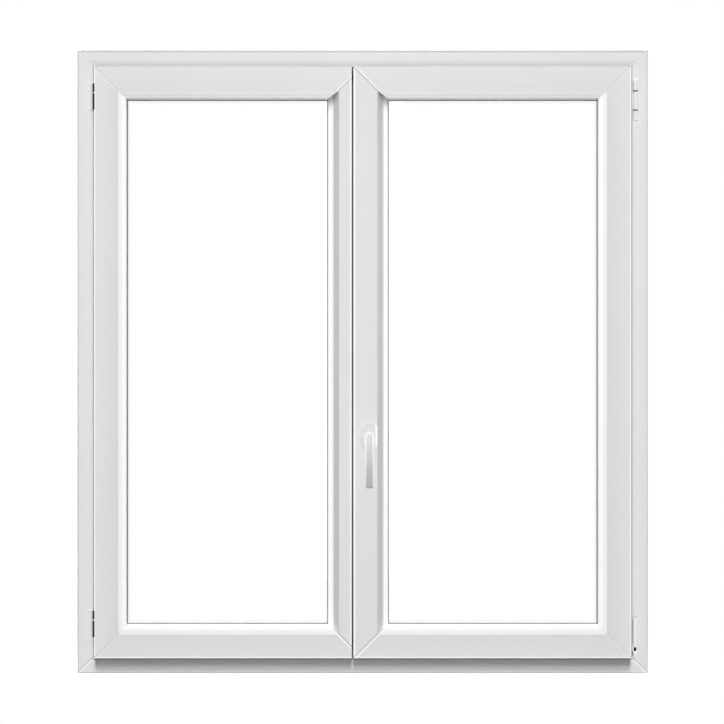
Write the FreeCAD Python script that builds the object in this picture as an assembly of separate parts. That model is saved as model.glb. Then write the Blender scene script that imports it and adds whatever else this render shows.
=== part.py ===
import FreeCAD, Part
import os
from math import sin, tan

V = FreeCAD.Vector

# Two-leaf tilt and turn window in millimetres. X runs right as seen from the room, Y runs outdoors, Z runs up.
# The origin is the middle of the frame's underside.

WIDTH = 1300.0
HEIGHT = 1420.0
FRAME_DEPTH = 70.0
FRAME_SHOWN = 40.0
LIP_ON_FRAME = 8.0
SILL_LAP = 4.0
HARDWARE_GAP = 12.0
FRAME_STOP = 24.0
FRAME_EDGE_RADIUS = 2.0

SASH_PROUD = 20.0
SASH_DEPTH = 70.0
SASH_FLAT = 55.4
SASH_EDGE_RADIUS = 1.2
SEAL_THICKNESS = 3.0
SEAL_WIDTH = 6.0
SEAM_X = -23.0
SEAM_GAP = 3.2
MEETING_TRIM = 26.3

TOP_BEAD_WIDTH = 17.7
BOTTOM_BEAD_WIDTH = 20.0
LEFT_BEAD_WIDTH = 17.3
RIGHT_BEAD_WIDTH = 18.9
LEFT_MEETING_BEAD_WIDTH = 25.5
RIGHT_MEETING_BEAD_WIDTH = 24.1
BEAD_CREST_DROP = 1.4
BEAD_DROP = 4.4
BEAD_ROUND = 20.0
MEETING_FOOT_SHARE = 0.52
MEETING_SLOPE_DROP = 15.0
MEETING_FOOT_DROP = 2.6
BEAD_STEP = 0.3
BEAD_JOINT = 0.2
UPSTAND_THICKNESS = 17.0
UPSTAND_SETBACK = 7.0
PANE = 4.0
PANE_EDGE_GAP = 5.0
CAVITY = 16.0
SPACER_WIDTH = 6.0
SPACER_INSET = 2.0
GASKET = 3.0
GASKET_SHOWN = 1.9
GASKET_WIDTH = 10.0

GROOVE_WIDTH = 8.0
GROOVE_DEPTH = 4.0
WELD_HALF_WIDTH = 1.4
WELD_DEPTH = 1.1

MULLION_WEB = 12.0
MULLION_FLANGE = 24.0
MULLION_FLANGE_DEPTH = 13.0
MULLION_END_GAP = 2.0

PIN_RADIUS = 3.0
PIN_CLEARANCE = 0.1
BARREL_OFFSET = 8.0
KNUCKLE_GAP = 2.4
TURN_BARREL_RADIUS = 5.0
TURN_BARREL_GAP = 2.0
TURN_UPPER_KNUCKLE = 21.0
TURN_LOWER_KNUCKLE = 39.0
TURN_LEAF_INSET = 4.0
TURN_FROM_TOP = 37.0
TURN_FROM_BOTTOM = 47.0
NOTCH_DEPTH = 0.6
NOTCH_MARGIN = 1.5
STAY_BARREL_RADIUS = 6.3
STAY_BARREL_GAP = 5.3
STAY_KNUCKLES = (24.0, 41.0, 23.0)
STAY_FROM_TOP = 30.0
CORNER_BARREL_RADIUS = 4.3
CORNER_BARREL_GAP = 5.7
CORNER_BARREL_BOTTOM = 24.0
CORNER_BARREL_HEIGHT = 71.0
CORNER_BEARING_HEIGHT = 11.0
CORNER_PIN_SHOWN = 8.5

HANDLE_BACKSET = 36.8
HANDLE_HEIGHT = 503.5
ROSETTE_WIDTH = 36.6
ROSETTE_HEIGHT = 60.0
ROSETTE_DEPTH = 11.0
ROSETTE_SOFTENING = 1.6
BOSS_RADIUS = 11.0
BOSS_DEPTH = 3.0
NECK_RADIUS = 8.5
NECK_CLEARANCE = 0.2
NECK_SEAT = 6.0
LEVER_LENGTH = 114.8
LEVER_TOP_WIDTH = 21.2
LEVER_TIP_WIDTH = 21.2
LEVER_REACH = 50.0
LEVER_TIP_BACK = 17.0
LEVER_THICKNESS = 11.5
LEVER_SOFTENING = 3.3

DRAIN_CAP = (44.0, 4.0, 15.0)
DRAIN_CAP_Z = 17.0
DRAIN_MOUTH_MARGIN = 5.0
DRAIN_MOUTH_HEIGHT = 5.0
DRAIN_HOOD = 1.4
DRAIN_PITCH = 420.0

FRONT = -FRAME_DEPTH / 2
BACK = FRAME_DEPTH / 2
SASH_FRONT = FRONT - SASH_PROUD
SASH_BACK = SASH_FRONT + SASH_DEPTH
LIP_BACK = FRONT - SEAL_THICKNESS
STOP_FACE = SASH_BACK + SEAL_THICKNESS
LIP = LIP_ON_FRAME + HARDWARE_GAP
REBATE = FRAME_SHOWN + LIP_ON_FRAME
FRAME_HEIGHT = REBATE + FRAME_STOP
UPSTAND_FACE = SASH_BACK - UPSTAND_THICKNESS
UPSTAND_EDGE = SASH_FLAT + TOP_BEAD_WIDTH - UPSTAND_SETBACK
OUTER_PANE_Y = UPSTAND_FACE - GASKET - PANE
INNER_PANE_Y = OUTER_PANE_Y - CAVITY - PANE
BEAD_BACK = INNER_PANE_Y - GASKET
TRIM_X = SEAM_X - SEAM_GAP / 2

FRAME_BOX = (-WIDTH / 2, WIDTH / 2, 0.0, HEIGHT)
SASH_LOW = FRAME_SHOWN - SILL_LAP
SASH_HIGH = HEIGHT - FRAME_SHOWN
SASH_SIDE = WIDTH / 2 - FRAME_SHOWN
LEFT_BOX = (-SASH_SIDE, TRIM_X + MEETING_TRIM, SASH_LOW, SASH_HIGH)
RIGHT_BOX = (SEAM_X + SEAM_GAP / 2, SASH_SIDE, SASH_LOW, SASH_HIGH)


def outline(corners):
    """Face in the local U-Y plane from corners (u, y, radius)."""
    bends = []
    for i, (u, y, radius) in enumerate(corners):
        point = V(u, y, 0)
        before = V(*corners[i - 1][:2], 0) - point
        after = V(*corners[(i + 1) % len(corners)][:2], 0) - point
        before.normalize()
        after.normalize()
        half = before.getAngle(after) / 2
        inward = before + after
        inward.normalize()
        reach = radius / tan(half)
        middle = point + inward * (radius / sin(half) - radius)
        bends.append((point + before * reach, middle, point + after * reach, radius))
    edges = []
    for i, (start, middle, end, radius) in enumerate(bends):
        if radius:
            edges.append(Part.Arc(start, middle, end).toShape())
        edges.append(Part.makeLine(end, bends[(i + 1) % len(bends)][0]))
    return Part.Face(Part.Wire(edges))


def block(x0, x1, y0, y1, z0, z1):
    return Part.makeBox(x1 - x0, y1 - y0, z1 - z0, V(x0, y0, z0))


def inset(box, by):
    return (box[0] + by, box[1] - by, box[2] + by, box[3] - by)


def inset_sides(box, by):
    return (box[0] + by["left"], box[1] - by["right"], box[2] + by["bottom"], box[3] - by["top"])


def plate(box, y0, y1):
    return block(box[0], box[1], y0, y1, box[2], box[3])


def ring(box, near, far, y0, y1):
    return plate(inset(box, near), y0, y1).cut(plate(inset(box, far), y0 - 1, y1 + 1))


def weld_groove(face_y, inward, near, far):
    """V groove along the mitre u = s, in the face at face_y."""
    rise = 1.0
    spread = WELD_HALF_WIDTH * (WELD_DEPTH + rise) / WELD_DEPTH / 2 ** 0.5
    points = [
        V(near + spread, face_y - inward * rise, near - spread),
        V(near - spread, face_y - inward * rise, near + spread),
        V(near, face_y + inward * WELD_DEPTH, near),
    ]
    return Part.Face(Part.makePolygon(points + points[:1])).extrude(V(far - near, 0, far - near))


def member(box, side, face, joint=0.0, welds=(), slopes=(1.0, 1.0)):
    """Mitred bar along one side of a box. The face's U runs inward from the box's edge.
    Slopes are the mitres' run along the bar for each step of U, at its start and its end."""
    x0, x1, z0, z1 = box
    start, turn, length = {
        "bottom": (V(x1, 0, z0), -90, x1 - x0),
        "left": (V(x0, 0, z0), 0, z1 - z0),
        "top": (V(x0, 0, z1), 90, x1 - x0),
        "right": (V(x1, 0, z1), 180, z1 - z0),
    }[side]
    reach = face.BoundBox.XMax
    low = face.BoundBox.YMin - 1
    deep = face.BoundBox.YLength + 2
    corners = [
        V(-1, low, joint - slopes[0]),
        V(-1, low, length - joint + slopes[1]),
        V(reach + 1, low, length - joint - slopes[1] * (reach + 1)),
        V(reach + 1, low, joint + slopes[0] * (reach + 1)),
    ]
    mitre = Part.Face(Part.makePolygon(corners + corners[:1])).extrude(V(0, deep, 0))
    bar = face.extrude(V(0, 0, length)).common(mitre)
    flip = FreeCAD.Placement(V(0, 0, length), FreeCAD.Rotation())
    for face_y, inward, near, far in welds:
        groove = weld_groove(face_y, inward, near, far)
        far_groove = groove.mirror(V(0, 0, 0), V(0, 0, 1))
        far_groove.Placement = flip.multiply(far_groove.Placement)
        bar = bar.cut([groove, far_groove])
    bar.Placement = FreeCAD.Placement(start, FreeCAD.Rotation(V(0, 1, 0), turn))
    return bar


def upright(x, y, radius, z0, z1, softening=0.0):
    post = Part.makeCylinder(radius, z1 - z0, V(x, y, z0))
    if softening:
        rims = [e for e in post.Edges if abs(e.BoundBox.ZLength) < 1e-6]
        post = post.makeFillet(softening, rims)
    return post


def save(node, *shapes):
    solids = [s for shape in shapes for s in shape.Solids]
    Part.makeCompound(solids).exportStep("parts/" + node + ".step")


os.makedirs("parts", exist_ok=True)

# Outer frame
groove_y = FRAME_DEPTH * 0.24
frame_face = outline([
    (0, FRONT, FRAME_EDGE_RADIUS),
    (REBATE, FRONT, 1),
    (REBATE, STOP_FACE, 0),
    (FRAME_HEIGHT, STOP_FACE, 1),
    (FRAME_HEIGHT - 2, BACK, 2),
    (0, BACK, FRAME_EDGE_RADIUS),
    (0, groove_y + GROOVE_WIDTH / 2, 0),
    (GROOVE_DEPTH, groove_y + GROOVE_WIDTH / 2, 0),
    (GROOVE_DEPTH, groove_y - GROOVE_WIDTH / 2, 0),
    (0, groove_y - GROOVE_WIDTH / 2, 0),
    (0, -groove_y + GROOVE_WIDTH / 2, 0),
    (GROOVE_DEPTH, -groove_y + GROOVE_WIDTH / 2, 0),
    (GROOVE_DEPTH, -groove_y - GROOVE_WIDTH / 2, 0),
    (0, -groove_y - GROOVE_WIDTH / 2, 0),
])
frame_welds = [(FRONT, 1, 0, REBATE), (BACK, -1, 0, FRAME_HEIGHT)]
for node, side in (
    ("frame_sill", "bottom"),
    ("frame_left_jamb", "left"),
    ("frame_head", "top"),
    ("frame_right_jamb", "right"),
):
    save(node, member(FRAME_BOX, side, frame_face, welds=frame_welds))

outer_seal = ring(FRAME_BOX, FRAME_HEIGHT - 10, FRAME_HEIGHT - 3, SASH_BACK, STOP_FACE)

caps = []
for x in (-DRAIN_PITCH, 0.0, DRAIN_PITCH):
    cap = block(
        x - DRAIN_CAP[0] / 2,
        x + DRAIN_CAP[0] / 2,
        BACK,
        BACK + DRAIN_CAP[1],
        DRAIN_CAP_Z,
        DRAIN_CAP_Z + DRAIN_CAP[2],
    )
    outer_rims = [e for e in cap.Edges if e.BoundBox.YMin > BACK + DRAIN_CAP[1] - 1e-6]
    mouth_half = DRAIN_CAP[0] / 2 - DRAIN_MOUTH_MARGIN
    mouth = block(
        x - mouth_half,
        x + mouth_half,
        BACK + DRAIN_HOOD,
        BACK + DRAIN_CAP[1] - DRAIN_HOOD,
        DRAIN_CAP_Z - 1,
        DRAIN_CAP_Z + DRAIN_MOUTH_HEIGHT,
    )
    caps.append(cap.makeChamfer(DRAIN_CAP[1] * 0.4, outer_rims).cut(mouth))
save("drain_caps", *caps)

# Sashes
sash_face = outline([
    (0, SASH_FRONT, SASH_EDGE_RADIUS),
    (SASH_FLAT, SASH_FRONT, 0.8),
    (SASH_FLAT, UPSTAND_FACE, 0),
    (UPSTAND_EDGE, UPSTAND_FACE, 1),
    (UPSTAND_EDGE - 2, SASH_BACK, 3),
    (LIP, SASH_BACK, 1),
    (LIP, LIP_BACK, 0),
    (0, LIP_BACK, 1),
])
sash_welds = [(SASH_FRONT, 1, 0, SASH_FLAT), (SASH_BACK, -1, LIP, UPSTAND_EDGE)]


def bead_face(width, turn_at, turn_drop, drop, turn_round):
    """Bead from the sash's flat to the glass, that turns from one slope to another at a share of its width."""
    face_y = SASH_FRONT + BEAD_STEP
    return outline([
        (0, face_y, 0.3),
        (width * turn_at, face_y + turn_drop, turn_round),
        (width, face_y + drop, 3),
        (width, BEAD_BACK, 0),
        (0, BEAD_BACK, 0),
    ])


def round_bead(width):
    return bead_face(width, 0.5, BEAD_CREST_DROP, BEAD_DROP, BEAD_ROUND)


def cove_bead(width):
    return bead_face(
        width, 1 - MEETING_FOOT_SHARE, MEETING_SLOPE_DROP, MEETING_SLOPE_DROP + MEETING_FOOT_DROP, 5)


beyond_trim = block(TRIM_X, WIDTH, -WIDTH, WIDTH, -1, HEIGHT + 1)

turn_x = -SASH_SIDE - TURN_BARREL_GAP - TURN_BARREL_RADIUS
barrel_y = FRONT - BARREL_OFFSET
turn_bottoms = {
    "top": SASH_HIGH - TURN_FROM_TOP - TURN_UPPER_KNUCKLE - KNUCKLE_GAP - TURN_LOWER_KNUCKLE,
    "bottom": SASH_LOW + TURN_FROM_BOTTOM,
}
notches = []
leaves = []
for place, z in turn_bottoms.items():
    split = z + TURN_LOWER_KNUCKLE
    upper = split + KNUCKLE_GAP
    top = upper + TURN_UPPER_KNUCKLE
    low_range = (z + NOTCH_MARGIN, split - NOTCH_MARGIN / 2)
    high_range = (upper + NOTCH_MARGIN / 2, top - NOTCH_MARGIN)
    for z0, z1 in (low_range, high_range):
        notches.append(block(
            -SASH_SIDE - 1, -SASH_SIDE + NOTCH_DEPTH, SASH_FRONT - 1, LIP_BACK + 1, z0, z1))
    around = upright(turn_x, barrel_y, TURN_BARREL_RADIUS + PIN_CLEARANCE, z - 1, top + 1)
    frame_leaf = block(
        turn_x + TURN_LEAF_INSET, -SASH_SIDE + NOTCH_DEPTH / 4, SASH_FRONT + 5, FRONT, *low_range)
    frame_foot = block(
        turn_x - TURN_BARREL_RADIUS * 0.8, turn_x + TURN_BARREL_RADIUS * 0.8, barrel_y, FRONT, z, split)
    sash_leaf = block(
        turn_x + TURN_LEAF_INSET, -SASH_SIDE + NOTCH_DEPTH, SASH_FRONT + 5, LIP_BACK - 0.5, *high_range)
    leaves.append(frame_leaf.cut([around, frame_foot]))
    leaves.append(sash_leaf.cut(around))
    frame_half = upright(turn_x, barrel_y, TURN_BARREL_RADIUS, z, split, 0.8)
    frame_half = frame_half.fuse([
        frame_foot,
        upright(turn_x, barrel_y, PIN_RADIUS, split - 1, top - 2),
    ]).removeSplitter()
    sash_half = upright(turn_x, barrel_y, TURN_BARREL_RADIUS, upper, top, 0.8)
    sash_half = sash_half.cut(
        upright(turn_x, barrel_y, PIN_RADIUS + PIN_CLEARANCE, upper - 1, top - 2 + PIN_CLEARANCE))
    save("left_" + place + "_hinge_frame_half", frame_half)
    save("left_" + place + "_hinge_sash_half", sash_half)
save("left_hinge_leaves", *leaves)

# The sides that a bar meets, at its start and at its end
neighbours = {
    "bottom": ("right", "left"),
    "left": ("bottom", "top"),
    "top": ("left", "right"),
    "right": ("top", "bottom"),
}
for leaf, box, trim in (("left", LEFT_BOX, True), ("right", RIGHT_BOX, False)):
    hinge_side, meeting_side = ("left", "right") if trim else ("right", "left")
    names = {
        "bottom": "bottom_rail",
        "top": "top_rail",
        hinge_side: "hinge_stile",
        meeting_side: "meeting_stile",
    }
    bead_names = {
        "bottom": "bead_bottom",
        "top": "bead_top",
        hinge_side: "bead_hinge_side",
        meeting_side: "bead_meeting_side",
    }
    bead_widths = {
        "bottom": BOTTOM_BEAD_WIDTH,
        "top": TOP_BEAD_WIDTH,
        hinge_side: LEFT_BEAD_WIDTH if trim else RIGHT_BEAD_WIDTH,
        meeting_side: LEFT_MEETING_BEAD_WIDTH if trim else RIGHT_MEETING_BEAD_WIDTH,
    }
    for side, name in names.items():
        bar = member(box, side, sash_face, welds=sash_welds)
        if trim:
            bar = bar.cut([beyond_trim] + (notches if name == "hinge_stile" else []))
        save(leaf + "_" + name, bar)
        width = bead_widths[side]
        slopes = [bead_widths[other] / width for other in neighbours[side]]
        face = cove_bead(width) if side == meeting_side else round_bead(width)
        bead = member(inset(box, SASH_FLAT), side, face, joint=BEAD_JOINT, slopes=slopes)
        save(leaf + "_" + bead_names[side], bead)
    pane_box = inset(box, SASH_FLAT + PANE_EDGE_GAP)
    save(leaf + "_inner_pane", plate(pane_box, INNER_PANE_Y, INNER_PANE_Y + PANE))
    save(leaf + "_outer_pane", plate(pane_box, OUTER_PANE_Y, OUTER_PANE_Y + PANE))
    spacer = ring(
        pane_box, SPACER_INSET, SPACER_INSET + SPACER_WIDTH, INNER_PANE_Y + PANE, OUTER_PANE_Y)
    save(leaf + "_glass_spacer", spacer)
    sight = inset_sides(box, {side: SASH_FLAT + bead_widths[side] + GASKET_SHOWN for side in names})
    outer_edge = UPSTAND_EDGE + GASKET_SHOWN
    save(
        leaf + "_glazing_gaskets",
        ring(sight, -GASKET_WIDTH, 0, BEAD_BACK, INNER_PANE_Y),
        ring(box, outer_edge - GASKET_WIDTH, outer_edge, OUTER_PANE_Y + PANE, UPSTAND_FACE),
    )
    seal = ring(box, 1, 1 + SEAL_WIDTH, LIP_BACK, FRONT)
    if trim:
        seal = seal.cut(beyond_trim)
    save(leaf + "_sash_seal", seal)

# False mullion on the passive sash, outdoors of the seam
mullion_low = FRAME_HEIGHT + MULLION_END_GAP
mullion_high = HEIGHT - FRAME_HEIGHT - MULLION_END_GAP
web_right = TRIM_X + MULLION_WEB
mullion_face = outline([
    (TRIM_X, FRONT, 0),
    (web_right, FRONT, 1),
    (web_right, STOP_FACE, 0),
    (web_right + MULLION_FLANGE, STOP_FACE, 1),
    (web_right + MULLION_FLANGE, STOP_FACE + MULLION_FLANGE_DEPTH, 3),
    (TRIM_X - MULLION_FLANGE, STOP_FACE + MULLION_FLANGE_DEPTH, 3),
    (TRIM_X - MULLION_FLANGE, SASH_BACK, 1),
    (TRIM_X, SASH_BACK, 0),
])
mullion_face.translate(V(0, 0, mullion_low))
save("false_mullion", mullion_face.extrude(V(0, 0, mullion_high - mullion_low)))
seam_seal = block(
    web_right + MULLION_FLANGE - 10,
    web_right + MULLION_FLANGE - 3,
    SASH_BACK,
    STOP_FACE,
    mullion_low,
    mullion_high,
)
save("outer_seals", outer_seal, seam_seal)

# Right upper hinge: three knuckles on one pin
stay_x = SASH_SIDE + STAY_BARREL_GAP + STAY_BARREL_RADIUS
stay_top = SASH_HIGH - STAY_FROM_TOP
middle_top = stay_top - STAY_KNUCKLES[0] - KNUCKLE_GAP
middle_low = middle_top - STAY_KNUCKLES[1]
lower_top = middle_low - KNUCKLE_GAP
stay_low = lower_top - STAY_KNUCKLES[2]
stay_pin_low = stay_low + 4
stay_pin_high = stay_top - 4
stay_bore = upright(
    stay_x, barrel_y, PIN_RADIUS + PIN_CLEARANCE, stay_pin_low - PIN_CLEARANCE, stay_pin_high + PIN_CLEARANCE)
foot_half = STAY_BARREL_RADIUS * 0.85
stay_frame = upright(stay_x, barrel_y, STAY_BARREL_RADIUS, middle_top + KNUCKLE_GAP, stay_top, 1.2)
stay_frame = stay_frame.fuse([
    upright(stay_x, barrel_y, STAY_BARREL_RADIUS, stay_low, lower_top, 1.2),
    block(stay_x - foot_half, stay_x + foot_half, barrel_y, FRONT, middle_top + KNUCKLE_GAP, stay_top),
    block(stay_x - foot_half, stay_x + foot_half, barrel_y, FRONT, stay_low, lower_top),
    block(stay_x - foot_half, stay_x + foot_half, FRONT - 1.2, FRONT, stay_low, stay_top),
]).removeSplitter()
save("right_top_hinge_frame_half", stay_frame.cut(stay_bore))
stay_sash = upright(stay_x, barrel_y, STAY_BARREL_RADIUS, middle_low, middle_top, 0.6)
stay_sash = stay_sash.fuse(
    block(SASH_SIDE, stay_x, barrel_y, LIP_BACK - 1, middle_low + 3, middle_top - 3)).removeSplitter()
save("right_top_hinge_sash_half", stay_sash.cut(stay_bore))
stay_pin = upright(stay_x, barrel_y, PIN_RADIUS, stay_pin_low, stay_pin_high)

# Right lower hinge: slim barrel on a pin that stands in a bearing
corner_x = SASH_SIDE + CORNER_BARREL_GAP + CORNER_BARREL_RADIUS
corner_low = SASH_LOW + CORNER_BARREL_BOTTOM
corner_high = corner_low + CORNER_BARREL_HEIGHT
bearing_top = corner_low - CORNER_PIN_SHOWN
bearing_low = bearing_top - CORNER_BEARING_HEIGHT
corner_pin_low = bearing_low + 3
corner_pin_high = corner_low + 30
corner_bore = upright(
    corner_x, barrel_y, PIN_RADIUS + PIN_CLEARANCE, corner_pin_low - PIN_CLEARANCE, corner_pin_high + PIN_CLEARANCE)
corner_sash = upright(corner_x, barrel_y, CORNER_BARREL_RADIUS, corner_low, corner_high, 1.2)
corner_sash = corner_sash.fuse(
    block(SASH_SIDE, corner_x, barrel_y, LIP_BACK - 1, corner_low + 8, corner_high - 8)).removeSplitter()
save("right_bottom_hinge_sash_half", corner_sash.cut(corner_bore))
bearing_half = CORNER_BARREL_RADIUS + 2
bearing = upright(corner_x, barrel_y, bearing_half, bearing_low, bearing_top, 1.2)
bearing = bearing.fuse(
    block(corner_x - bearing_half * 0.8, corner_x + bearing_half * 0.8, barrel_y, FRONT, bearing_low, bearing_top),
).removeSplitter()
save("right_bottom_hinge_frame_half", bearing.cut(corner_bore))
corner_pin = upright(corner_x, barrel_y, PIN_RADIUS, corner_pin_low, corner_pin_high)
save("right_hinge_pins", stay_pin, corner_pin)

# Handle, drawn at the spindle with the lever hanging, then moved into place
spindle = V(RIGHT_BOX[0] + HANDLE_BACKSET, SASH_FRONT, SASH_LOW + HANDLE_HEIGHT)
to_front = FreeCAD.Rotation(V(1, 0, 0), 90)

rosette_face = outline([
    (-ROSETTE_WIDTH / 2, -ROSETTE_HEIGHT / 2, ROSETTE_WIDTH * 0.36),
    (ROSETTE_WIDTH / 2, -ROSETTE_HEIGHT / 2, ROSETTE_WIDTH * 0.36),
    (ROSETTE_WIDTH / 2, ROSETTE_HEIGHT / 2, ROSETTE_WIDTH * 0.36),
    (-ROSETTE_WIDTH / 2, ROSETTE_HEIGHT / 2, ROSETTE_WIDTH * 0.36),
])
rosette = rosette_face.extrude(V(0, 0, ROSETTE_DEPTH))
rosette = rosette.makeFillet(ROSETTE_SOFTENING, [e for e in rosette.Edges if e.BoundBox.ZMin > ROSETTE_DEPTH - 1e-6])
boss = Part.makeCylinder(BOSS_RADIUS, ROSETTE_DEPTH + BOSS_DEPTH)
boss_top = ROSETTE_DEPTH + BOSS_DEPTH
boss = boss.makeFillet(1.2, [e for e in boss.Edges if e.BoundBox.ZMin > boss_top - 1e-6])
seat = Part.makeCylinder(NECK_RADIUS + NECK_CLEARANCE, NECK_SEAT + 1, V(0, 0, boss_top - NECK_SEAT))
rosette = rosette.fuse(boss).removeSplitter().cut(seat)
rosette.Placement = FreeCAD.Placement(spindle, to_front)
save("handle_rosette", rosette)

head = LEVER_TOP_WIDTH / 2
tip = LEVER_TIP_WIDTH / 2
front_edges = [
    Part.Arc(V(-head, 0, 0), V(0, head, 0), V(head, 0, 0)).toShape(),
    Part.makeLine(V(head, 0, 0), V(tip, -LEVER_LENGTH, 0)),
    Part.makeLine(V(tip, -LEVER_LENGTH, 0), V(-tip, -LEVER_LENGTH, 0)),
    Part.makeLine(V(-tip, -LEVER_LENGTH, 0), V(-head, 0, 0)),
]
lever_front = Part.Face(Part.Wire(front_edges)).extrude(V(0, 0, LEVER_REACH * 2))
rear = LEVER_REACH - LEVER_THICKNESS
drop = LEVER_LENGTH + 5
rise = head + 5
tip_front = LEVER_REACH - LEVER_TIP_BACK
tip_rear = rear - LEVER_TIP_BACK + 1.5
side_edges = [
    Part.Arc(V(0, rise, LEVER_REACH - 2), V(0, -drop * 0.42, LEVER_REACH - 2.5), V(0, -drop, tip_front)).toShape(),
    Part.makeLine(V(0, -drop, tip_front), V(0, -drop, tip_rear)),
    Part.Arc(V(0, -drop, tip_rear), V(0, -drop * 0.42, rear - 2), V(0, rise, rear - 1)).toShape(),
    Part.makeLine(V(0, rise, rear - 1), V(0, rise, LEVER_REACH - 2)),
]
lever_side = Part.Face(Part.Wire(side_edges)).extrude(V(LEVER_TIP_WIDTH * 2, 0, 0))
lever_side.translate(V(-LEVER_TIP_WIDTH, 0, 0))
arm = lever_front.common(lever_side)
arm = arm.makeFillet(LEVER_SOFTENING, arm.Edges)
neck_low = boss_top - NECK_SEAT + NECK_CLEARANCE
neck = Part.makeCylinder(NECK_RADIUS, rear + LEVER_THICKNESS / 2 - neck_low, V(0, 0, neck_low))
lever = arm.fuse(neck).removeSplitter()
lever.Placement = FreeCAD.Placement(spindle, to_front)
save("handle_lever", lever)
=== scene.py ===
import math

import bpy
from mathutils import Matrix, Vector

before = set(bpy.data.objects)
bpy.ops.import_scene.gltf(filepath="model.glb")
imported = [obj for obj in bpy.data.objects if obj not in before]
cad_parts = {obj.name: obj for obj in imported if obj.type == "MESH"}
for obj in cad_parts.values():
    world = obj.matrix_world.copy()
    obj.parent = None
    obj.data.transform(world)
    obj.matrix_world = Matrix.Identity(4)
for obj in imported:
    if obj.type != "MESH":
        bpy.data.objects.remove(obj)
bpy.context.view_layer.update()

scene = bpy.context.scene
scene.view_settings.view_transform = "Standard"

# Camera, in metres: on the window's middle, level, 4.2 m from the outer frame's room face.
CAMERA_PLACE = (-0.0014, -4.235, 0.709)
CAMERA_LENS = 91.6
SENSOR_WIDTH = 36.0

# Key light: a tall narrow softbox far in front, as sun lamps one over another:
# rise in degrees, strength.
KEY_FAN = ((40.0, 0.50), (51.0, 0.85), (62.0, 2.07))
KEY_ANGLE = math.radians(14.0)
KEY_FAR = 5.0

# Soft boxes: name, place, point it looks at, width, height and power in watts.
SOFT_BOXES = (
    ("room_box", (0.05, -2.7, 3.3), (0.0, 0.0, 0.75), 3.0, 1.6, 38.4),
    ("middle_strip", (0.0, -1.4, 0.8), (0.0, 0.0, 0.75), 0.25, 1.5, 1.9),
    ("outdoor_box", (0.0, 2.8, 2.6), (0.0, 0.0, 0.7), 2.6, 1.6, 100.0),
    ("left_box", (-3.0, 0.7, 1.4), (-0.65, 0.0, 0.7), 1.4, 1.6, 22.0),
    ("right_box", (3.0, 0.7, 1.4), (0.65, 0.0, 0.7), 1.4, 1.6, 22.0),
)
DOME_LEVEL = 0.09

# Floor, in metres. The object's shadow shows on it near the window and fades to white further off.
FLOOR_HALF_WIDTH = 4.0
FLOOR_FRONT = -5.0
FLOOR_BACK = 3.0
FLOOR_DROP = 0.0005
SHADOW_REACH = 0.45
SHADOW_SHARE = 0.5
FLOOR_TONE = 0.92
FLOOR_BOUNCE = 0.25

# Faces and edges of the window, in metres. A leaf's bars are flat from its edge to its beads.
FRAME_FACE = -0.035
FRAME_SIDE = 0.650
FRAME_TOP = 1.420
LEAF_FACE = -0.055
LEAF_SIDE = 0.610
LEAF_TOP = 1.380
LEAF_FOOT = 0.036
FLAT_WIDTH = 0.0554
INNER_SIDE = LEAF_SIDE - FLAT_WIDTH
INNER_TOP = LEAF_TOP - FLAT_WIDTH
INNER_FOOT = LEAF_FOOT + FLAT_WIDTH

# The gap round the leaves shows this far outside their edges, because the leaves stand in front.
# Painted shade lines are drawn there.
LEAF_PARALLAX = 0.003
SIDE_GAP = LEAF_SIDE + LEAF_PARALLAX
TOP_GAP = LEAF_TOP + LEAF_PARALLAX
FOOT_GAP = LEAF_FOOT - LEAF_PARALLAX

# The seam between the leaves and the painted highlight lines beside it, in metres.
SEAM_LEFT = -0.0246
SEAM_RIGHT = -0.0214
SEAM_MIDDLE = (SEAM_LEFT + SEAM_RIGHT) / 2
SEAM_REACH = 0.008
SEAM_DEPTH = -0.010
LEFT_LEAF_LINE = SEAM_LEFT - 0.0024
RIGHT_LEAF_LINE = SEAM_RIGHT + 0.0030
LEFT_MITRE_CORNER = 0.0017
BEADS_MIDDLE = -0.00985
MEETING_REACH = 0.2

# Where tones turn, in metres: the start and the end of each change. All but GLASS_TOP turn painted
# light and shade.
HEAD_SHADE = (FRAME_TOP - 0.019, TOP_GAP)
HEAD_TOP = (FRAME_TOP - 0.0010, FRAME_TOP - 0.0002)
HEAD_SEAM = (LEAF_TOP + 0.0026, LEAF_TOP + 0.0022)
SILL_SEAM = (LEAF_FOOT - 0.0024, LEAF_FOOT - 0.0020)
HINGE_STILE_SHADE = (LEAF_SIDE - 0.012, INNER_SIDE)
SLOT_WALL = (LEAF_SIDE - 0.0020, LEAF_SIDE - 0.0014)
TOP_BEAD_TURN = (INNER_TOP - 0.008, INNER_TOP - 0.014)
BOTTOM_BEAD_TURN = (INNER_FOOT + 0.006, INNER_FOOT + 0.014)
HINGE_BEAD_TURN = (INNER_SIDE - 0.007, INNER_SIDE - 0.012)
MEETING_BEAD_TURN = (0.0550, 0.0594)
MULLION_FACE = (FRAME_FACE + 0.0010, FRAME_FACE + 0.0004)
GLASS_TOP = (1.290, 1.296)
TURN_HINGE_SHADE = (0.6205, 0.6150)
ROSETTE_TOP = (0.5667, 0.5687)
LEVER_FACE = (0.0079, 0.0067)
LEVER_SHADE = (0.55, 0.42)

# Places of fine lines of painted light and shade, and of small fittings, in metres.
HEAD_LINE = FRAME_TOP - 0.0028
HINGE_STILE_LINE = LEAF_SIDE - 0.0014
HINGE_SLOTS = ((0.0845, 0.1213), (0.1252, 0.1439), (1.2821, 1.3189), (1.3228, 1.3415))
STAY_HINGE_SIDE = LEAF_SIDE + 0.0018
STAY_HINGE_GAPS = (1.3248, 1.2814)
STAY_HINGE_FOOT = 1.2572
CORNER_HINGE_SIDE = LEAF_SIDE + 0.0026
CORNER_HINGE_TOP = 0.131
LEVER_X = 0.0154
ROSETTE_SIDE = LEVER_X + 0.0183
WELD_FLOOR = LEAF_FACE + 0.0011
MITRE_INSET = 0.0042

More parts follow.
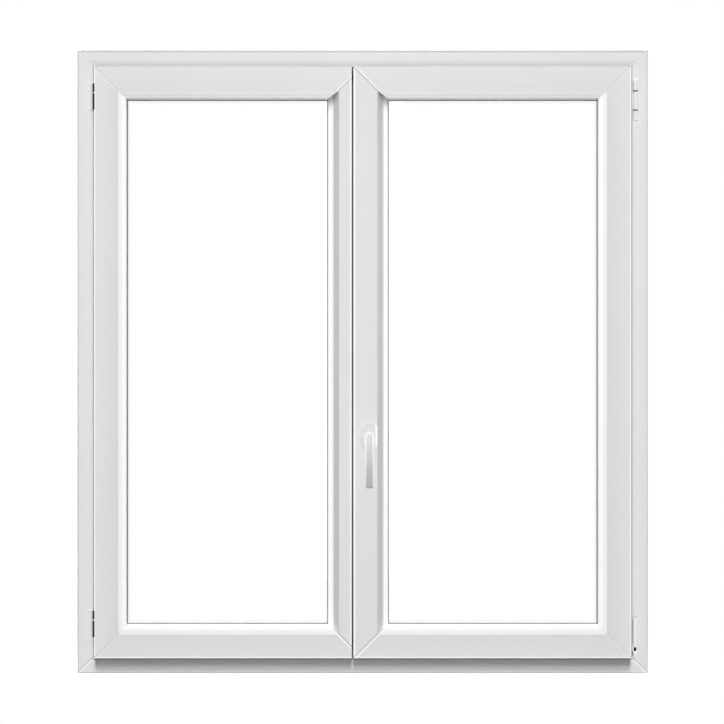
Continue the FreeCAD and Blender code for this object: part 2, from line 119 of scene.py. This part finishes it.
# How far fine lines reach to each side, in metres.
EDGE_REACH = 0.0024
BRIGHT_REACH = 0.0026
MITRE_REACH = 0.0019
JOINT_REACH = 0.0018
WELD_REACH = 0.0010
SILL_REACH = 0.0040
KNUCKLE_REACH = 0.0019
STAY_FOOT_REACH = 0.0030
CORNER_SIDE_REACH = 0.0044
CORNER_TOP_REACH = 0.0040
ROSETTE_REACH = 0.0060
SLOT_SOFTNESS = 0.0006

# Greys of the plastic, as linear values: bars, beads, and the fine lines on their edges. All but the
# bar, meeting stile and die line greys are painted light and shade: shade in gaps, seams, slots and
# welds, on edges and towards the glass and leaves, and highlight lines.
PVC_TONE = 0.70
MEETING_TONE = 0.67
INNER_SHADE_TONE = 0.645
DIE_LINE_TONE = 0.60
EDGE_SHADE_TONE = 0.33
HEAD_EDGE_SHADE_TONE = 0.45
HEAD_SHADE_TONE = 0.51
HEAD_TOP_SHADE_TONE = 0.44
HEAD_MITRE_HIGHLIGHT_TONE = 0.80
GAP_SHADE_TONE = 0.31
WELD_SHADE_TONE = 0.50
HIGHLIGHT_TONE = 0.90
LEFT_LEAF_HIGHLIGHT_TONE = 0.85
MULLION_SHADE_TONE = 0.05
SEAM_SHADE_TONE = 0.03
SLOT_SHADE_TONE = 0.02

# Greys of the fittings, as linear values. Besides the hinges' own greys, the corner hinge top's and
# the rosette's, these are painted light and shade: shade beside the leaf, in the knuckle gaps, on
# the rosette's top and on the lever's face, light on the stay hinge's foot and highlights on the
# lever's sides.
TURN_HINGE_TONE = 0.80
TURN_HINGE_SHADE_TONE = 0.56
STAY_HINGE_TONE = 0.72
STAY_FOOT_LIGHT_TONE = 0.97
KNUCKLE_GAP_SHADE_TONE = 0.08
CORNER_HINGE_TONE = 0.80
CORNER_TOP_TONE = 0.50
ROSETTE_TONE = 0.64
ROSETTE_TOP_SHADE_TONE = 0.42
LEVER_SIDE_HIGHLIGHT_TONE = 0.99
LEVER_FACE_SHADE_TONE = 0.62
LEVER_TIP_SHADE_TONE = 0.50

# Grain of the finishes, in cells to the metre, the stretch of die lines along a bar, and bump depth.
CLOUDS = 3.0
CLOUD_CHANGE = 0.01
DIE_LINES = 420.0
ALONG_BAR = 0.012
PVC_MOTTLE = 160.0
ORANGE_PEEL = 900.0
CAP_GRAIN = 1500.0
STEEL_SCRATCHES = 2400.0
RUBBER_DUST = 240.0
BRUSHING = 700.0
GLASS_SMEAR = 5.0
PVC_BUMP = 0.00015
FINE_BUMP = 0.0001

# Names for the sockets of the main surface shader.
SOCKETS = {
    "colour": "Base Color",
    "roughness": "Roughness",
    "metal": "Metallic",
    "normal": "Normal",
    "coat": "Coat Weight",
    "coat_roughness": "Coat Roughness",
}


class Wire:
    """One output socket, which takes part in Python sums."""

    def __init__(self, finish, socket):
        self.finish = finish
        self.socket = socket

    def __add__(self, other):
        return self.finish.maths("ADD", self, other)

    def __radd__(self, other):
        return self.finish.maths("ADD", other, self)

    def __sub__(self, other):
        return self.finish.maths("SUBTRACT", self, other)

    def __rsub__(self, other):
        return self.finish.maths("SUBTRACT", other, self)

    def __mul__(self, other):
        return self.finish.maths("MULTIPLY", self, other)

    def __rmul__(self, other):
        return self.finish.maths("MULTIPLY", other, self)


class Finish:
    """The node tree of one material, or of the world."""

    def __init__(self, tree):
        self.tree = tree
        tree.nodes.clear()

    def node(self, kind, settings, sockets, output=0):
        """Adds a node with its settings, and gives each named socket a wire or a value."""
        made = self.tree.nodes.new(kind)
        for name, value in settings.items():
            if name == "stops":
                set_stops(made.color_ramp, value)
            else:
                setattr(made, name, value)
        for name, value in sockets.items():
            if isinstance(value, Wire):
                self.tree.links.new(value.socket, made.inputs[name])
            else:
                made.inputs[name].default_value = value
        return Wire(self, made.outputs[output]) if made.outputs else None

    def place(self):
        return self.node("ShaderNodeTexCoord", {}, {}, "Object")

    def axis(self, name):
        return self.node("ShaderNodeSeparateXYZ", {}, {"Vector": self.place()}, name)

    def maths(self, operation, first, second=0.0):
        return self.node("ShaderNodeMath", {"operation": operation}, {0: first, 1: second})

    def beside(self, value, middle, reach):
        """1 within half of reach from middle, down to 0 where value is reach away."""
        share = 2.0 - self.maths("ABSOLUTE", value - middle) * (2.0 / reach)
        return self.maths("MINIMUM", self.maths("MAXIMUM", share), 1.0)

    def rise(self, value, turn):
        """0 at the start of the turn and 1 at its end, even between them and level beyond."""
        start, end = turn
        sockets = {"Value": value, "From Min": start, "From Max": end}
        return self.node("ShaderNodeMapRange", {}, sockets)

    def between(self, value, low, high):
        """1 where value is between low and high."""
        above_low = self.rise(value, (low - SLOT_SOFTNESS, low))
        return above_low * self.rise(value, (high + SLOT_SOFTNESS, high))

    def noise(self, scale, detail=2.0, stretch=(1.0, 1.0, 1.0)):
        """Noise from 0 to 1, with scale cells to the metre, times stretch on each axis."""
        spread = self.node("ShaderNodeMapping", {}, {"Vector": self.place(), "Scale": stretch})
        sockets = {"Vector": spread, "Scale": scale, "Detail": detail}
        return self.node("ShaderNodeTexNoise", {}, sockets)

    def fade(self, tone, value, turn, level):
        """The tone at the start of the turn, a grey level at its end."""
        return self.blend(self.rise(value, turn), tone, grey(level))

    def line(self, tone, value, middle, reach, level):
        """The tone with a line of another grey where value is middle."""
        return self.blend(self.beside(value, middle, reach), tone, grey(level))

    def ramp(self, value, *stops):
        return self.node("ShaderNodeValToRGB", {"stops": stops}, {"Fac": value})

    def blend(self, share, first, second):
        """A colour between first and second."""
        sockets = {0: share, 6: first, 7: second}
        return self.node("ShaderNodeMix", {"data_type": "RGBA"}, sockets, 2)

    def bump(self, height, strength, depth):
        sockets = {"Height": height, "Strength": strength, "Distance": depth}
        return self.node("ShaderNodeBump", {}, sockets)

    def surface(self, **sockets):
        inputs = {SOCKETS[name]: value for name, value in sockets.items()}
        return self.node("ShaderNodeBsdfPrincipled", {}, inputs)

    def show(self, shader):
        self.node("ShaderNodeOutputMaterial", {}, {"Surface": shader})


def set_stops(ramp, stops):
    """Sets a colour ramp to (position, colour) stops."""
    for extra in range(len(stops) - len(ramp.elements)):
        ramp.elements.new(0.5)
    for element, (position, colour) in zip(ramp.elements, stops):
        element.position = position
        element.color = colour


def grey(level):
    return (level, level, level, 1.0)


def new_finish(name):
    material = bpy.data.materials.new(name)
    material.use_nodes = True
    return material, Finish(material.node_tree)


def cloudy(finish, level):
    """A grey that wanders a little over the window."""
    clouds = finish.noise(CLOUDS, 1.0)
    return finish.blend(clouds, grey(level - CLOUD_CHANGE), grey(level + CLOUD_CHANGE))


def height_of(finish):
    return finish.axis("Z")


def aside(finish):
    """Distance from the window's middle, to either side."""
    return finish.maths("ABSOLUTE", finish.axis("X"))


def from_beads_middle(finish):
    """Distance from the middle between the two meeting beads."""
    return finish.maths("ABSOLUTE", finish.axis("X") - BEADS_MIDDLE)


def weld_depth(finish):
    """1 inside the fine groove along a leaf's weld, and on rounded edges as deep."""
    return finish.beside(finish.axis("Y"), WELD_FLOOR, WELD_REACH)


def in_seam(finish, turn):
    """1 close behind the seam between the leaves, on the leaves' side of a height, where painted
    shade goes.
    """
    across = finish.beside(finish.axis("X"), SEAM_MIDDLE, SEAM_REACH)
    near = finish.rise(finish.axis("Y"), (SEAM_DEPTH, FRAME_FACE))
    return across * near * finish.rise(height_of(finish), turn)


def beside_mitre(finish, tone, beyond, level):
    """The tone with a fine line a little inside a mitre, which lies where beyond is 0."""
    return finish.line(tone, beyond, MITRE_INSET, MITRE_REACH, level)


def die_lines(finish, drawn):
    """Faint lines along an extruded bar: drawn is its axis, 0 for X or 2 for Z."""
    stretch = [1.0, 1.0, 1.0]
    stretch[drawn] = ALONG_BAR
    return finish.noise(DIE_LINES, 3.0, stretch)


def show_pvc(finish, drawn, tone):
    """Satin extruded PVC of that tone, with faint die lines along the bar."""
    lines = die_lines(finish, drawn)
    mottle = finish.noise(PVC_MOTTLE, 3.0)
    tone = finish.blend(lines * 0.10 + mottle * 0.06, tone, grey(DIE_LINE_TONE))
    finish.show(finish.surface(
        colour=tone,
        roughness=0.27 + lines * 0.10 + mottle * 0.04,
        normal=finish.bump(lines * 0.6 + mottle * 0.4, 0.25, PVC_BUMP),
    ))


def head_pvc(name):
    """The frame's head: painted shade darker towards the leaves and on its top edge, a painted shade
    line along its outer edge, painted highlights beside its mitres and painted shade behind the
    seam.
    """
    material, finish = new_finish(name)
    height = height_of(finish)
    # Painted shade: the head turns darker towards the leaves.
    tone = finish.fade(cloudy(finish, PVC_TONE), height, HEAD_SHADE, HEAD_SHADE_TONE)
    # Painted shade: a dark line along the outer edge, and the top rounding darkened against the
    # lamps above.
    tone = finish.line(tone, height, HEAD_LINE, BRIGHT_REACH, HEAD_EDGE_SHADE_TONE)
    tone = finish.fade(tone, height, HEAD_TOP, HEAD_TOP_SHADE_TONE)
    # Painted highlight: a paler line beside each mitre.
    beyond = FRAME_SIDE - FRAME_TOP - aside(finish) + height
    tone = beside_mitre(finish, tone, beyond, HEAD_MITRE_HIGHLIGHT_TONE)
    # Painted shade: near black behind the seam.
    tone = finish.blend(in_seam(finish, HEAD_SEAM), tone, grey(SEAM_SHADE_TONE))
    show_pvc(finish, 0, tone)
    return material


def sill_pvc(name):
    """The frame's sill: a painted shade line in the gap below the leaves, painted light on its lower
    edge, painted highlights beside its mitres and painted shade behind the seam.
    """
    material, finish = new_finish(name)
    height = height_of(finish)
    # Painted shade in the gap, painted light on the lower edge and painted highlights beside the
    # mitres.
    tone = finish.line(cloudy(finish, PVC_TONE), height, FOOT_GAP, SILL_REACH, GAP_SHADE_TONE)
    tone = finish.line(tone, height, 0.0, SILL_REACH, HIGHLIGHT_TONE)
    tone = beside_mitre(finish, tone, FRAME_SIDE - aside(finish) - height, HIGHLIGHT_TONE)
    # Painted shade: near black behind the seam.
    tone = finish.blend(in_seam(finish, SILL_SEAM), tone, grey(SEAM_SHADE_TONE))
    show_pvc(finish, 0, tone)
    return material


def jamb_pvc(name):
    """The frame's jambs: painted shade lines on the outer edge and in the gap beside the leaves."""
    material, finish = new_finish(name)
    side = aside(finish)
    # Painted shade: a dark line on the outer edge, and one in the gap beside the leaf.
    tone = finish.line(cloudy(finish, PVC_TONE), side, FRAME_SIDE, EDGE_REACH, EDGE_SHADE_TONE)
    tone = finish.line(tone, side, SIDE_GAP, EDGE_REACH, GAP_SHADE_TONE)
    show_pvc(finish, 2, tone)
    return material


def rail_pvc(name, edge, inner_edge, inner_shade_tone, line_inset, painted_edge_tone, painted_joint_tone, painted_weld_tone):
    """A leaf's rail: painted shade darker towards its inner edge, and a painted line along its outer
    edge, shade on the top rail and a highlight on the bottom one. The tones at the bead joint and in
    the corner welds are painted light on the top rail. Its weld at the meeting stile is painted
    darker as shade, with a painted highlight beside it.
    """
    material, finish = new_finish(name)
    height = height_of(finish)
    across = finish.axis("X")
    upward = 1.0 if edge > inner_edge else -1.0
    # Painted shade towards the inner edge, a painted line along the outer edge and a painted tone at
    # the bead joint.
    tone = finish.fade(cloudy(finish, PVC_TONE), height, (edge, inner_edge), inner_shade_tone)
    tone = finish.line(tone, height, edge - upward * line_inset, BRIGHT_REACH, painted_edge_tone)
    tone = finish.line(tone, height, inner_edge, JOINT_REACH, painted_joint_tone)
    # Painted highlight: a bright line beside each meeting mitre, on its own leaf only.
    for corner, way in ((SEAM_RIGHT, 1.0), (LEFT_MITRE_CORNER, -1.0)):
        beyond = (across - corner) * way + (height - edge) * upward
        own_leaf = finish.rise((across - SEAM_MIDDLE) * way, (0.0, SLOT_SOFTNESS))
        bright = own_leaf * finish.beside(beyond, MITRE_INSET, BRIGHT_REACH)
        tone = finish.blend(bright, tone, grey(HIGHLIGHT_TONE))
    # Painted shade in the welds near the seam; the other welds take the given corner tone.
    near_seam = finish.beside(across, BEADS_MIDDLE, MEETING_REACH)
    groove = finish.blend(near_seam, grey(painted_weld_tone), grey(WELD_SHADE_TONE))
    show_pvc(finish, 0, finish.blend(weld_depth(finish), tone, groove))
    return material


def hinge_stile_pvc(name, slots):
    """A leaf's hinge stile: a painted highlight on its outer edge, painted shade at the slots, and
    painted shade greyer to the glass.
    """
    material, finish = new_finish(name)
    side = aside(finish)
    # Painted shade greyer towards the glass, and a painted highlight line on the outer edge.
    tone = finish.fade(cloudy(finish, PVC_TONE), side, HINGE_STILE_SHADE, INNER_SHADE_TONE)
    tone = finish.line(tone, side, HINGE_STILE_LINE, BRIGHT_REACH, HIGHLIGHT_TONE)
    # Painted shade: the slot walls turn near black.
    wall = finish.rise(side, SLOT_WALL)
    for low, high in slots:
        slot = wall * finish.between(height_of(finish), low, high)
        tone = finish.blend(slot, tone, grey(SLOT_SHADE_TONE))
    show_pvc(finish, 2, tone)
    return material


def meeting_stile_pvc(name):
    """A leaf's meeting stile: painted highlight lines beside the seam, and welds painted dark as
    shade.
    """
    material, finish = new_finish(name)
    across = finish.axis("X")
    tone = cloudy(finish, MEETING_TONE)
    # Painted highlights beside the seam.
    tone = finish.line(tone, across, RIGHT_LEAF_LINE, BRIGHT_REACH, HIGHLIGHT_TONE)
    tone = finish.line(tone, across, LEFT_LEAF_LINE, BRIGHT_REACH, LEFT_LEAF_HIGHLIGHT_TONE)
    # Painted shade in the welds.
    show_pvc(finish, 2, finish.blend(weld_depth(finish), tone, grey(WELD_SHADE_TONE)))
    return material


def bead_pvc(name, drawn, distance, turn, flat_tone, glass_tone):
    """A glazing bead, whose tone turns from the leaf's side to the glass: painted light and shade
    for how its slopes face the lamps.
    """
    material, finish = new_finish(name)
    tone = cloudy(finish, flat_tone)
    show_pvc(finish, drawn, finish.fade(tone, distance(finish), turn, glass_tone))
    return material


def mullion_pvc(name):
    """The false mullion's PVC, with its face in the seam painted near black as shade."""
    material, finish = new_finish(name)
    lines = die_lines(finish, 2)
    tone = finish.blend(lines * 0.10, grey(PVC_TONE), grey(DIE_LINE_TONE))
    # Painted shade: the face in the seam turns near black.
    finish.show(finish.surface(
        colour=finish.fade(tone, finish.axis("Y"), MULLION_FACE, MULLION_SHADE_TONE),
        roughness=0.30 + lines * 0.10,
        normal=finish.bump(lines, 0.2, FINE_BUMP),
    ))
    return material


def show_enamel(finish, tone, roughness, coat):
    """Baked white enamel over a casting, with a fine orange peel."""
    peel = finish.noise(ORANGE_PEEL, 2.0)
    finish.show(finish.surface(
        colour=tone,
        roughness=roughness + peel * 0.08,
        normal=finish.bump(peel, 0.15, FINE_BUMP),
        coat=coat,
        coat_roughness=0.12,
    ))


def turn_hinge_tone(finish):
    """Left hinges: painted shade, greyer beside the leaf than on the frame's side."""
    tone = cloudy(finish, TURN_HINGE_TONE)
    return finish.fade(tone, aside(finish), TURN_HINGE_SHADE, TURN_HINGE_SHADE_TONE)


def stay_hinge_tone(finish):
    """Right upper hinge: painted shade beside the leaf and between the knuckles, with painted light
    on its foot.
    """
    height = height_of(finish)
    tone = cloudy(finish, STAY_HINGE_TONE)
    tone = finish.line(tone, aside(finish), STAY_HINGE_SIDE, EDGE_REACH, GAP_SHADE_TONE)
    for gap in STAY_HINGE_GAPS:
        tone = finish.line(tone, height, gap, KNUCKLE_REACH, KNUCKLE_GAP_SHADE_TONE)
    return finish.line(tone, height, STAY_HINGE_FOOT, STAY_FOOT_REACH, STAY_FOOT_LIGHT_TONE)


def corner_hinge_tone(finish):
    """Right lower hinge: a painted shade line beside the leaf, and a greyer top."""
    height = height_of(finish)
    tone = cloudy(finish, CORNER_HINGE_TONE)
    tone = finish.line(tone, aside(finish), CORNER_HINGE_SIDE, CORNER_SIDE_REACH, GAP_SHADE_TONE)
    return finish.line(tone, height, CORNER_HINGE_TOP, CORNER_TOP_REACH, CORNER_TOP_TONE)


def hinge_enamel(name, hinge_tone):
    """White enamel on one kind of hinge."""
    material, finish = new_finish(name)
    show_enamel(finish, hinge_tone(finish), 0.26, 0.3)
    return material


def rosette_enamel(name):
    """The rosette's enamel: a painted highlight along its right edge and painted shade along its
    top.
    """
    material, finish = new_finish(name)
    tone = cloudy(finish, ROSETTE_TONE)
    tone = finish.line(tone, finish.axis("X"), ROSETTE_SIDE, ROSETTE_REACH, HIGHLIGHT_TONE)
    tone = finish.fade(tone, height_of(finish), ROSETTE_TOP, ROSETTE_TOP_SHADE_TONE)
    show_enamel(finish, tone, 0.30, 0.0)
    return material


def lever_enamel(name):
    """White enamel on the lever: painted highlights on its rounded sides, and painted shade greyer
    down its face.
    """
    material, finish = new_finish(name)
    from_lever_middle = finish.maths("ABSOLUTE", finish.axis("X") - LEVER_X)
    face = finish.rise(from_lever_middle, LEVER_FACE)
    tone = finish.fade(grey(LEVER_FACE_SHADE_TONE), height_of(finish), LEVER_SHADE, LEVER_TIP_SHADE_TONE)
    show_enamel(finish, finish.blend(face, grey(LEVER_SIDE_HIGHLIGHT_TONE), tone), 0.22, 0.3)
    return material


def moulded_caps(name):
    """Injection moulded plastic with a spark-eroded grain."""
    material, finish = new_finish(name)
    grain = finish.noise(CAP_GRAIN, 2.0)
    finish.show(finish.surface(
        colour=finish.blend(grain * 0.3, grey(0.71), grey(0.64)),
        roughness=0.38 + grain * 0.12,
        normal=finish.bump(grain, 0.4, FINE_BUMP),
    ))
    return material


def black_steel(name):
    """Oiled dark steel, turned, with lighter scratches."""
    material, finish = new_finish(name)
    scratches = finish.noise(STEEL_SCRATCHES, 2.0, (1.0, 1.0, 0.06))
    finish.show(finish.surface(
        colour=finish.ramp(scratches, (0.35, grey(0.006)), (0.75, grey(0.022))),
        metal=0.85,
        roughness=0.34 + scratches * 0.2,
        normal=finish.bump(scratches, 0.2, FINE_BUMP),
    ))
    return material


def rubber(name, level, top_level):
    """Matt extruded rubber with a bloom of paler dust, and its grey along the top of the glass."""
    material, finish = new_finish(name)
    dust = finish.noise(RUBBER_DUST, 4.0)
    tone = finish.ramp(dust, (0.30, grey(level)), (0.80, grey(level * 1.35)))
    finish.show(finish.surface(
        colour=finish.fade(tone, height_of(finish), GLASS_TOP, top_level),
        roughness=0.62 + dust * 0.2,
        normal=finish.bump(dust, 0.3, FINE_BUMP),
    ))
    return material


def spacer_bar(name):
    """Mill aluminium spacer, brushed along its length."""
    material, finish = new_finish(name)
    brushed = finish.noise(BRUSHING, 2.0, (0.05, 1.0, 0.05))
    finish.show(finish.surface(
        colour=finish.ramp(brushed, (0.3, grey(0.52)), (0.8, grey(0.68))),
        metal=1.0,
        roughness=0.32 + brushed * 0.15,
        normal=finish.bump(brushed, 0.2, FINE_BUMP),
    ))
    return material


def clear_glass(name):
    """Clear float glass: it mirrors by its angle and passes the rest."""
    material, finish = new_finish(name)
    slant = finish.node("ShaderNodeLayerWeight", {}, {"Blend": 0.5}, "Facing")
    mirror = 0.04 + 0.96 * finish.maths("POWER", slant, 5.0)
    roughness = 0.01 + finish.noise(GLASS_SMEAR, 3.0) * 0.02
    passed = finish.node("ShaderNodeBsdfTransparent", {}, {"Color": grey(1.0)})
    shine = finish.node("ShaderNodeBsdfGlossy", {}, {"Color": grey(1.0), "Roughness": roughness})
    finish.show(finish.node("ShaderNodeMixShader", {}, {0: mirror, 1: passed, 2: shine}))
    return material


def background_rays(finish):
    """1 for rays that show the background: straight, mirrored or through glass."""
    seen = 0.0
    for ray in ("Is Camera Ray", "Is Glossy Ray", "Is Transmission Ray"):
        seen = finish.maths("MAXIMUM", finish.node("ShaderNodeLightPath", {}, {}, ray), seen)
    return seen


def studio_floor(name):
    """Pale floor: white to the camera beside the object's shadow, a plain grey to other light."""
    material, finish = new_finish(name)
    along = finish.axis("Y")
    outside = finish.maths("MAXIMUM", aside(finish) - FRAME_SIDE)
    away = finish.maths("SQRT", outside * outside + along * along)
    white = 1.0 - SHADOW_SHARE + away * (SHADOW_SHARE / SHADOW_REACH)
    white = finish.maths("MINIMUM", white, 1.0)
    pale = finish.node("ShaderNodeBsdfDiffuse", {}, {"Color": grey(FLOOR_TONE)})
    glow = finish.node("ShaderNodeEmission", {}, {"Color": grey(1.0), "Strength": 1.0})
    shown = finish.node("ShaderNodeMixShader", {}, {0: white, 1: pale, 2: glow})
    dim = finish.node("ShaderNodeBsdfDiffuse", {}, {"Color": grey(FLOOR_BOUNCE)})
    sockets = {0: background_rays(finish), 1: dim, 2: shown}
    finish.show(finish.node("ShaderNodeMixShader", {}, sockets))
    return material


def studio_world():
    """An even, dim dome behind a white background."""
    world = bpy.data.worlds.new("studio")
    world.use_nodes = True
    finish = Finish(world.node_tree)
    colour = finish.blend(background_rays(finish), grey(DOME_LEVEL), grey(1.0))
    light = finish.node("ShaderNodeBackground", {}, {"Color": colour, "Strength": 1.0})
    finish.node("ShaderNodeOutputWorld", {}, {"Surface": light})
    scene.world = world


def hang_lamp(name, data, place, target):
    lamp = bpy.data.objects.new(name, data)
    scene.collection.objects.link(lamp)
    lamp.location = place
    lamp.rotation_euler = (Vector(target) - Vector(place)).to_track_quat("-Z", "Y").to_euler()


def studio_lamps():
    for rise, strength in KEY_FAN:
        name = "key_light_%d" % rise
        key = bpy.data.lights.new(name, "SUN")
        key.angle = KEY_ANGLE
        key.energy = strength
        high = math.radians(rise)
        place = (0.0, -KEY_FAR * math.cos(high), KEY_FAR * math.sin(high))
        hang_lamp(name, key, place, (0.0, 0.0, 0.0))
    for name, place, target, width, height, power in SOFT_BOXES:
        box = bpy.data.lights.new(name, "AREA")
        box.shape = "RECTANGLE"
        box.size = width
        box.size_y = height
        box.energy = power
        hang_lamp(name, box, place, target)


def studio_camera():
    data = bpy.data.cameras.new("camera")
    data.sensor_width = SENSOR_WIDTH
    data.lens = CAMERA_LENS
    camera = bpy.data.objects.new("camera", data)
    scene.collection.objects.link(camera)
    camera.location = CAMERA_PLACE
    camera.rotation_euler = (math.pi / 2, 0.0, 0.0)
    scene.camera = camera


def lay_floor():
    corners = [
        (-FLOOR_HALF_WIDTH, FLOOR_FRONT, -FLOOR_DROP),
        (FLOOR_HALF_WIDTH, FLOOR_FRONT, -FLOOR_DROP),
        (FLOOR_HALF_WIDTH, FLOOR_BACK, -FLOOR_DROP),
        (-FLOOR_HALF_WIDTH, FLOOR_BACK, -FLOOR_DROP),
    ]
    mesh = bpy.data.meshes.new("floor")
    mesh.from_pydata(corners, [], [(0, 1, 2, 3)])
    floor = bpy.data.objects.new("floor", mesh)
    scene.collection.objects.link(floor)
    mesh.materials.append(studio_floor("studio_floor"))


def paint(material, *names):
    """Gives a finish to the CAD nodes of those names."""
    for name in names:
        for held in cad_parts[name].material_slots:
            held.material = material


def cast_no_shadow(*names):
    """Leaves the bars round small white fittings evenly lit."""
    for name in names:
        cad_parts[name].visible_shadow = False


def paint_frame():
    paint(head_pvc("head_pvc"), "frame_head")
    paint(sill_pvc("sill_pvc"), "frame_sill")
    paint(jamb_pvc("jamb_pvc"), "frame_left_jamb", "frame_right_jamb")
    paint(mullion_pvc("false_mullion_pvc"), "false_mullion")
    paint(moulded_caps("moulded_caps"), "drain_caps")


def paint_leaves():
    bars = {
        # Rail tones: painted shade towards the glass, a painted shade line along the top rail's edge
        # and a painted highlight along the bottom rail's, and painted light at the top rail's bead
        # joint and welds.
        "top_rail": rail_pvc(
            "top_rail_pvc", LEAF_TOP, INNER_TOP, inner_shade_tone=0.655,
            line_inset=-0.0004, painted_edge_tone=0.30, painted_joint_tone=0.90, painted_weld_tone=0.92),
        "bottom_rail": rail_pvc(
            "bottom_rail_pvc", LEAF_FOOT, INNER_FOOT, inner_shade_tone=0.655,
            line_inset=0.0026, painted_edge_tone=0.85, painted_joint_tone=0.655, painted_weld_tone=0.71),
        "meeting_stile": meeting_stile_pvc("meeting_stile_pvc"),
        # Bead tones are painted light and shade: all paler than the bars, the meeting beads dark on
        # their steep side, and the top, hinge and meeting beads brighter towards the glass.
        "bead_top": bead_pvc(
            "top_bead_pvc", 0, height_of, TOP_BEAD_TURN, flat_tone=0.82, glass_tone=0.99),
        "bead_bottom": bead_pvc(
            "bottom_bead_pvc", 0, height_of, BOTTOM_BEAD_TURN, flat_tone=0.75, glass_tone=0.75),
        "bead_hinge_side": bead_pvc(
            "hinge_bead_pvc", 2, aside, HINGE_BEAD_TURN, flat_tone=0.85, glass_tone=0.95),
        "bead_meeting_side": bead_pvc(
            "meeting_bead_pvc", 2, from_beads_middle, MEETING_BEAD_TURN,
            flat_tone=0.54, glass_tone=0.91),
    }
    glass = clear_glass("clear_glass")
    spacer = spacer_bar("mill_aluminium")
    gasket = rubber("grey_glazing_rubber", level=0.12, top_level=0.26)
    seal = rubber("dark_seal_rubber", level=0.05, top_level=0.05)
    paint(hinge_stile_pvc("left_hinge_stile_pvc", HINGE_SLOTS), "left_hinge_stile")
    paint(hinge_stile_pvc("right_hinge_stile_pvc", ()), "right_hinge_stile")
    for leaf in ("left", "right"):
        for bar, material in bars.items():
            paint(material, leaf + "_" + bar)
        paint(glass, leaf + "_inner_pane", leaf + "_outer_pane")
        paint(spacer, leaf + "_glass_spacer")
        paint(gasket, leaf + "_glazing_gaskets")
        paint(seal, leaf + "_sash_seal")
    paint(seal, "outer_seals")


def paint_fittings():
    turn_enamel = hinge_enamel("turn_hinge_enamel", turn_hinge_tone)
    enamels = {
        "left_top": turn_enamel,
        "left_bottom": turn_enamel,
        "right_top": hinge_enamel("stay_hinge_enamel", stay_hinge_tone),
        "right_bottom": hinge_enamel("corner_hinge_enamel", corner_hinge_tone),
    }
    for hinge, enamel in enamels.items():
        halves = (hinge + "_hinge_frame_half", hinge + "_hinge_sash_half")
        paint(enamel, *halves)
        cast_no_shadow(*halves)
    paint(black_steel("black_steel"), "left_hinge_leaves", "right_hinge_pins")
    paint(rosette_enamel("rosette_enamel"), "handle_rosette")
    paint(lever_enamel("lever_enamel"), "handle_lever")
    cast_no_shadow("right_hinge_pins", "handle_rosette", "handle_lever")


studio_camera()
studio_world()
studio_lamps()
lay_floor()
paint_frame()
paint_leaves()
paint_fittings()
